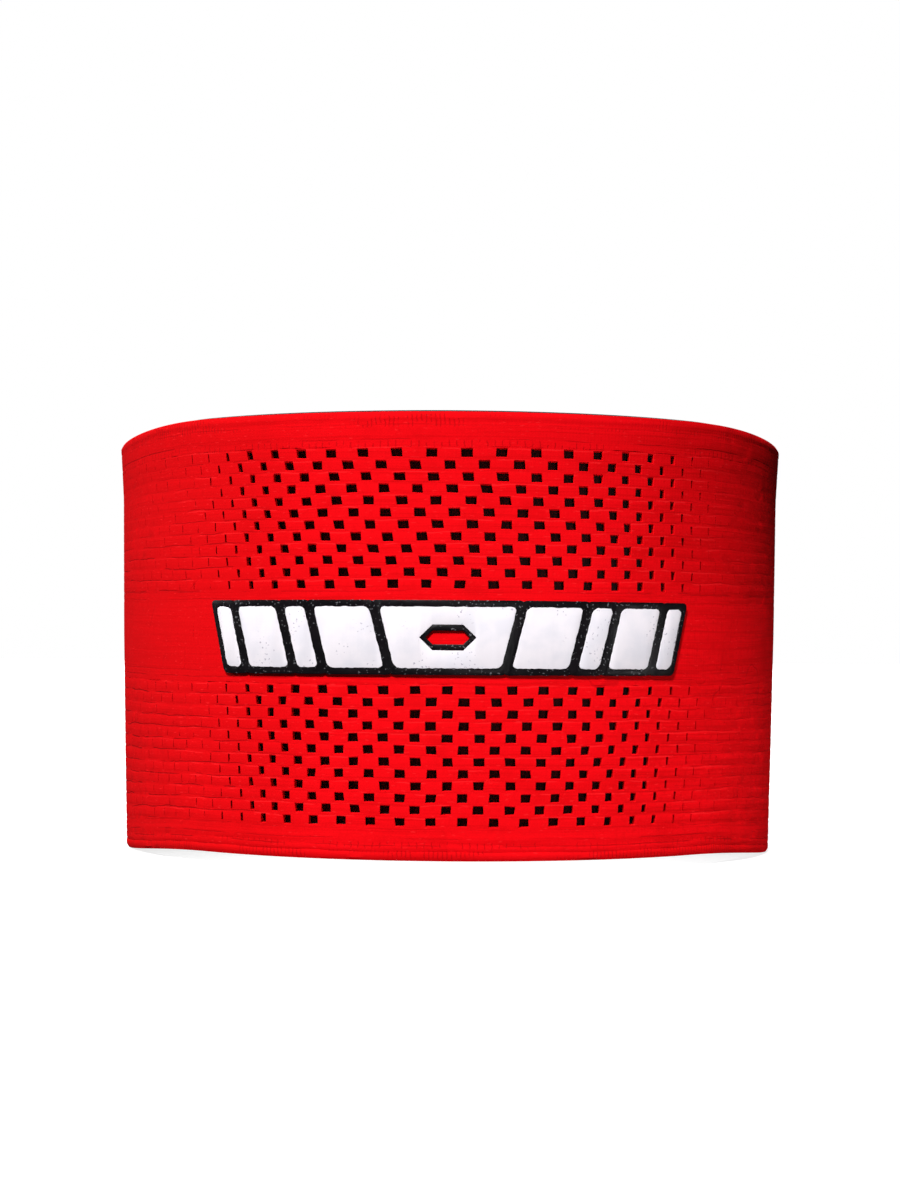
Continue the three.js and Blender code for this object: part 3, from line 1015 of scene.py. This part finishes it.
def makeRedKnit():
    material, shader = newMaterial("redKnit", Roughness=0.85, Specular_IOR_Level=0.05)
    place = clothPlace(material.node_tree)
    around, height = (parted(place)[name] for name in ("X", "Y"))
    knit = useGroup(knitGroup, place, Column_Width=knitLook["columnWidth"],
                    Stitch_Height=knitLook["stitchHeight"], Fuzz=0.5)

    # places on the web, from the middle of the front or the back
    fromMiddle = calc("PINGPONG", around, girth * 25)
    calm = opposite(ramp(fromMiddle, *knitLook["stretchedTo"]))
    rightSide = ramp(around, -0.5, 1.5)
    leftSide = opposite(rightSide)
    faded = times(ramp(height, *knitLook["highUp"]), ramp(fromMiddle, *knitLook["farAside"]))
    kept = sloped(faded, -0.75, 1.0)

    # painted shade: dark lines in the grooves between the rows of both blocks, broken here and there
    rowDrift = knitLook["rowDrift"]
    drift = sloped(noise(stretched(place, 1.2, 5.0), 1.0, 1.0), rowDrift, -rowDrift / 2)
    drifted = calc("ADD", height, drift)
    broken = patches(stretched(place, 1.0, 7.0), 1.3, 0.62)
    upperLeft = times(ramp(height, 3.6, 5.2), leftSide)
    sides = times(ramp(fromMiddle, 1.8, 3.6), sloped(rightSide, -0.7, 1.0), sloped(upperLeft, -0.55, 1.0))
    strength = times(broken, calc("ADD", sides, knitLook["rowLeast"]), kept)
    lines = times(rowLinesAt(height, drifted, knitLook["rowLine"]), strength)

    # painted highlights: a pale edge under some of these lines, on the top edges of the rows
    nearer = sloped(ramp(fromMiddle, 3.6, 5.4), -0.55, 0.75)
    highlightPatches = times(patches(stretched(place, 1.5, 5.0), 1.1, 0.45), nearer)
    highlightDrift = calc("ADD", drifted, knitLook["paleBelow"])
    paintedHighlights = times(rowLinesAt(height, highlightDrift, knitLook["paleLine"]), highlightPatches, kept)

    # the borders' own lines, painted shade in their grooves and along the strip, fainter where the web is
    # stretched
    bold = times(broken, sloped(calm, -0.35, 1.0))
    for middle, share in knitLook["borderLines"]:
        lines = calc("MAXIMUM", lines, times(lineAt(height, middle, knitLook["borderLine"]), share, bold))

    # short upright ribs, in patches along both borders, and patches darker along the lower edge
    ribs = 0.0
    for low, high, spacing in knitLook["ribRows"]:
        rib = opposite(ramp(calc("PINGPONG", around, spacing / 2), 0.0, knitLook["borderLine"]))
        ribs = calc("MAXIMUM", ribs, times(rib, bandAt(height, low, high)))
    ribCut = ramp(noise(stretched(place, 6.0, 9.0), 1.0, 1.0), 0.36, 0.5)
    ribs = times(ribs, ribCut, patches(stretched(place, 1.0, 3.0), 0.55, 0.62))
    darkLowEdge = times(bandAt(height, *knitLook["darkLowEdge"], 0.01), patches(stretched(place, 1.0, 0.2), 0.3, 0.72))

    # a few thin creases in the front half of the strip, darkened with painted shade
    inFront = opposite(ramp(calc("ABSOLUTE", around), *knitLook["behind"]))
    crease = times(lineAt(noise(stretched(place, 1.0, 0.7), 1.1, 1.0), 0.5, 0.012),
                   patches(place, 0.7, 0.3), inFront, bandAt(height, *knitLook["creased"], 0.1))

    # streaks along the yarns, soft mottling, and small pale flecks
    quiet = times(calm, opposite(bandAt(height, lowerEnd * 100, upperStart * 100)))
    streaks = times(noise(stretched(place, 0.5, 26.0), 1.0, 3.0, 0.6), sloped(quiet, -0.14, 1.0))
    toSides = times(ramp(fromMiddle, 1.6, 4.0), sloped(rightSide, 0.2, 0.6))
    broad = times(ramp(noise(stretched(place, 0.45, 7.0), 1.0), 0.36, 0.7), toSides)
    speckle = times(ramp(noise(place, 14.0, 3.0), 0.5, 0.72), sloped(toSides, 0.35, 0.25))
    mottle = ramp(noise(place, 1.6, 4.0), 0.52, 0.78)
    # painted shade: the left side darker away from the middle of the front
    shade = times(ramp(fromMiddle, 1.4, 3.0), leftSide)
    flecks = ramp(noise(stretched(place, 8.0, 42.0), 1.0, 1.0), 0.72, 0.8)

    # mask, strength and colour of what lies over the plain red, from the bottom up
    colour = mixColour(ramp(streaks, 0.42, 0.75), knitLook["red"], knitLook["deepRed"])
    for mask, strength, tone in (
        (mottle, 0.5, "deepRed"), (broad, 0.6, "deepRed"), (speckle, 1.0, "deepRed"),
        (shade, 0.65, "deepRed"), (flecks, 0.6, "paleRed"), (paintedHighlights, 1.0, "paleRed"),
        (lines, 0.75, "lineRed"), (darkLowEdge, 0.55, "deepRed"), (ribs, 0.5, "lineRed"), (crease, 0.3, "lineRed"),
    ):
        colour = mixColour(times(mask, strength), colour, knitLook[tone])
    feed(shader, {"Base Color": colour})

    relief = calc("ADD", times(knit["Height"], 0.35), times(streaks, 0.8))
    for cut, depth in ((calc("MAXIMUM", lines, ribs), 0.9), (crease, 0.7)):
        relief = calc("SUBTRACT", relief, times(cut, depth))
    addBump(shader, relief, 0.5, 0.06 * mm)
    return material


liningLook = {
    "hollow": (0.02, 0.005, 0.006),   # painted shade: colours of the knit's low and high places
    "raised": (0.045, 0.022, 0.023),
    "rib": (0.052, 0.031, 0.032),
    "stain": (0.004, 0.002, 0.0025),
    "ribSpacing": 0.18,
}


def makeDarkCloth():
    material, shader = newMaterial("darkCloth", Roughness=0.92, Specular_IOR_Level=0.1, Sheen_Weight=0.12,
                                   Sheen_Roughness=0.5)
    place = clothPlace(material.node_tree)
    knit = useGroup(knitGroup, place, Column_Width=0.06, Stitch_Height=0.05, Fuzz=0.6)
    ribs = calc("PINGPONG", parted(place)["X"], liningLook["ribSpacing"] / 2)
    cloud = noise(stretched(place, 3.0, 1.5), 1.0, 4.0)
    # painted shade: the knit darker in its hollows
    colour = mixColour(knit["Shade"], liningLook["hollow"], liningLook["raised"])
    colour = mixColour(times(ramp(ribs, 0.02, 0.06), 0.5), colour, liningLook["rib"])
    colour = mixColour(times(ramp(cloud, 0.4, 0.8), 0.35), colour, liningLook["stain"])
    feed(shader, {"Base Color": colour})
    addBump(shader, calc("ADD", knit["Height"], ramp(ribs, 0.0, 0.07)), 0.7, 0.1 * mm)
    return material


threadLook = {"dark": (0.85, 0.035, 0.045), "light": (0.95, 0.1, 0.11), "twist": (30.0, 90.0)}


def makeThread():
    material, shader = newMaterial("redThread", Roughness=0.8, Specular_IOR_Level=0.05)
    twist = noise(stretched(clothPlace(material.node_tree), *threadLook["twist"]), 1.0)
    colour = mixColour(ramp(twist, 0.4, 0.7), threadLook["dark"], threadLook["light"])
    feed(shader, {"Base Color": colour})
    addBump(shader, twist, 0.5, 0.05 * mm)
    return material


filmLooks = {
    "darkFilm": {"tones": ((0.0035, 0.003, 0.004), (0.006, 0.0045, 0.006)), "specks": (0.12, 0.12, 0.13),
                 "speckShare": 0.66, "roughness": 0.2, "specular": 0.12},
    "lightFilm": {"tones": ((0.86, 0.81, 0.86), (0.78, 0.75, 0.81)), "specks": (0.5, 0.46, 0.54),
                  "speckShare": 0.35, "roughness": 0.3, "specular": 0.15},
}


def makeFilm(name):
    # printed film: the knit shows through it faintly, with small scattered specks of another tone
    look = filmLooks[name]
    material, shader = newMaterial(name, Specular_IOR_Level=look["specular"])
    place = clothPlace(material.node_tree)
    knit = useGroup(knitGroup, place, Column_Width=knitLook["columnWidth"],
                    Stitch_Height=knitLook["stitchHeight"], Fuzz=0.9)
    cloud = noise(place, 2.4, 3.0)
    spots = times(ramp(noise(place, 26.0, 1.0), 0.68, 0.74), patches(place, 2.2, look["speckShare"]))
    colour = mixColour(spots, mixColour(ramp(cloud, 0.35, 0.7), *look["tones"]), look["specks"])
    rough = calc("ADD", look["roughness"], times(noise(place, 9.0, 3.0), 0.3))
    feed(shader, {"Base Color": colour, "Roughness": rough})
    addBump(shader, calc("ADD", times(knit["Height"], 0.3), cloud), 0.3, 0.05 * mm)
    return material


def finishPiece(piece, material, slotName, *replaced):
    piece.data.materials.clear()
    piece.data.materials.append(material)
    selectOnly(piece)
    bpy.ops.object.shade_smooth_by_angle(angle=math.radians(32))
    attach(piece, body)
    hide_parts(*replaced)


redKnit = makeRedKnit()
darkFilm = makeFilm("darkFilm")
lightFilm = makeFilm("lightFilm")

finishPiece(bandPiece, redKnit, "band_knit", "band")
finishPiece(lapPiece, redKnit, "band_knit", "band")
finishPiece(stitchPiece, makeThread(), "band_knit", "band")
finishPiece(liningPiece, makeDarkCloth(), "lining_cloth", "lining")
finishPiece(outlinePiece, darkFilm, "emblem_dark", "emblem_outline")
finishPiece(ringPiece, darkFilm, "emblem_dark", "emblem_slot_ring")
for fill in fillPieces:
    finishPiece(fill, lightFilm, "emblem_light", fill.name.removesuffix("_film"))

print("finishes:", len(bpy.data.materials), "materials")


# Camera, in the photograph's frame of 900 by 1200

photoFrame = {
    "height": 1200,
    "focal": 2622,            # pixels
    "horizon": 650,           # pixel row of the camera's own height
    "distance": 402 * mm,     # from the middle of the band
    "sideways": 0.28 * mm,
    "eyeHeight": 29.8 * mm,
    "roll": math.radians(-0.4),
}


def placeCamera():
    camera = bpy.data.objects.new("camera", bpy.data.cameras.new("camera"))
    bpy.context.collection.objects.link(camera)
    camera.data.lens = photoFrame["focal"] * camera.data.sensor_width / photoFrame["height"]
    camera.data.clip_start = 0.01
    upwards = math.atan((photoFrame["horizon"] - photoFrame["height"] / 2) / photoFrame["focal"])
    camera.location = (photoFrame["sideways"], -photoFrame["distance"] - wallShape["lapRise"] / 2,
                       photoFrame["eyeHeight"])
    camera.rotation_euler = (math.pi / 2 + upwards, photoFrame["roll"], 0)
    bpy.context.scene.camera = camera


placeCamera()


# Floor, sky and lights

studioSizes = {
    "floor": 12,                # metres across
    "shownWhite": 1.0,          # of the backdrop as seen
    "ambient": 0.025,           # of the backdrop as light
    "floorSeen": 0.5,
    "floorGlow": 0.8,           # keeps the floor near white in the shade, as seen
    "floorBounce": 0.045,
}

# azimuth 0 shines from the front, 90 from the right; angles in degrees
suns = (
    {"name": "key", "azimuth": -14.5, "elevation": 36, "strength": 4.2, "softness": 10},
    {"name": "leftFill", "azimuth": -100, "elevation": 25, "strength": 1.2, "softness": 40},
    {"name": "backFill", "azimuth": 180, "elevation": 45, "strength": 2.4, "softness": 20},
)

# places, aims and softness in metres, power in watts, width in degrees
spots = (
    {"name": "lowRight", "place": (0.24, -0.13, 0.0), "aim": (0.048, -0.02, -0.022), "power": 1.9,
     "width": 32, "softness": 0.03},
    {"name": "rightMiddle", "place": (0.08, -0.42, 0.02), "aim": (0.024, -0.045, 0.036), "power": 0.95,
     "width": 11, "softness": 0.02},
)


def makeFloor():
    # the floor looks near white, and throws less light back onto the band than it shows
    selectOnly()
    bpy.ops.mesh.primitive_plane_add(size=studioSizes["floor"])
    floor = bpy.context.object
    floor.name = "floor"
    material, shader = newMaterial("paleFloor", Roughness=0.9, Specular_IOR_Level=0.0,
                                   Emission_Color=(1, 1, 1))
    seen = addNode(material.node_tree, "LightPath", {})["Is Camera Ray"]
    colour = mixColour(seen, (studioSizes["floorBounce"],) * 3, (studioSizes["floorSeen"],) * 3)
    feed(shader, {"Base Color": colour, "Emission Strength": times(seen, studioSizes["floorGlow"])})
    floor.data.materials.append(material)


def makeWorld():
    # the sky is seen white, and lights the band only faintly
    world = bpy.data.worlds.new("studio")
    bpy.context.scene.world = world
    world.use_nodes = True
    tree = world.node_tree
    shown = feed(tree.nodes["Background"], {"Color": (1, 1, 1), "Strength": studioSizes["shownWhite"]})[0]
    lit = addNode(tree, "Background", {"Color": (1, 1, 1), "Strength": studioSizes["ambient"]})[0]
    seen = addNode(tree, "LightPath", {})["Is Camera Ray"]
    sky = addNode(tree, "MixShader", {0: seen, 1: lit, 2: shown})[0]
    feed(tree.nodes["World Output"], {"Surface": sky})


def addLight(name, kind, strength):
    light = bpy.data.objects.new(name, bpy.data.lights.new(name, kind))
    light.data.energy = strength
    bpy.context.collection.objects.link(light)
    return light


def addSun(name, azimuth, elevation, strength, softness):
    sun = addLight(name, "SUN", strength)
    sun.data.angle = math.radians(softness)
    sun.rotation_euler = (math.radians(90 - elevation), 0, math.radians(azimuth))


def addSpot(name, place, aim, power, width, softness):
    spot = addLight(name, "SPOT", power)
    spot.data.spot_size = math.radians(width)
    spot.data.spot_blend = 1
    spot.data.shadow_soft_size = softness
    spot.location = place
    spot.rotation_euler = (Vector(aim) - Vector(place)).to_track_quat("-Z", "Y").to_euler()


makeFloor()
makeWorld()
for sun in suns:
    addSun(**sun)
for spot in spots:
    addSpot(**spot)
bpy.context.scene.view_settings.view_transform = "Standard"
print("studio:", len(bpy.data.lights), "lights")
